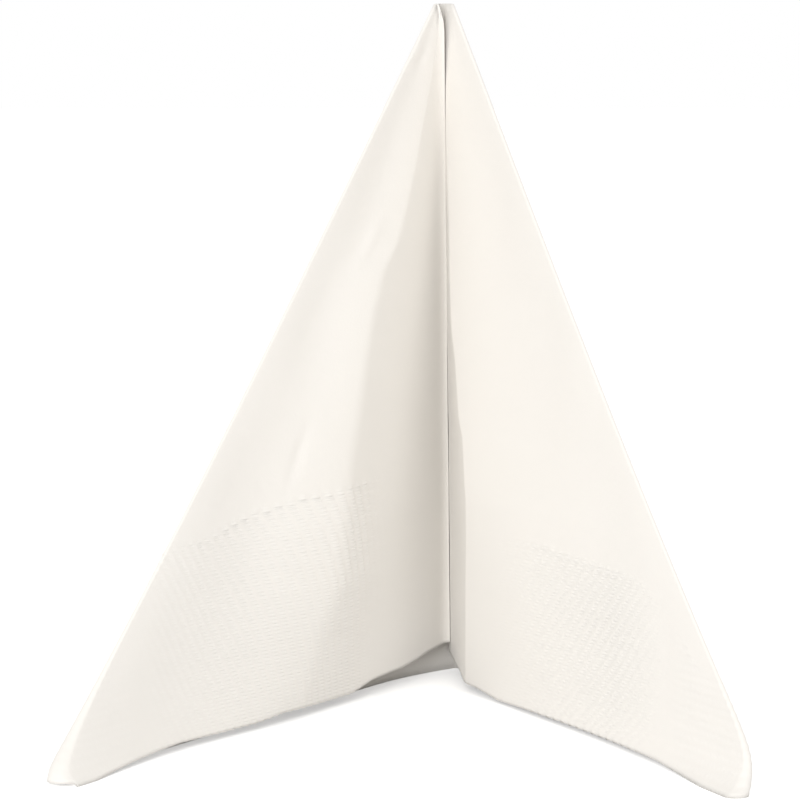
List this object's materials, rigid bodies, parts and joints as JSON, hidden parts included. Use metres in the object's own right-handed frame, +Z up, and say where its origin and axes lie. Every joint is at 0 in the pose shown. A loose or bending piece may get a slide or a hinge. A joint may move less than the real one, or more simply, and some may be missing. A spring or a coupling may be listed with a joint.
{
  "type": "paper napkin",
  "caption": "White tissue napkin folded into a standing pyramid: two wings from one spine, each a back panel with a flap folded in front of it.",
  "frame": {"origin": "foot of the spine on the table, in the middle of the sheet's thickness", "axes": "+Z up along the spine, the wings open towards -Y, the left wing on -X and the right wing on +X"},
  "size_m": [0.1805, 0.1692, 0.2],
  "materials": {
    "tissue": "soft embossed tissue"
  },
  "bodies": {
    "root": {"napkin": "tissue"}
  },
  "joints": []
}
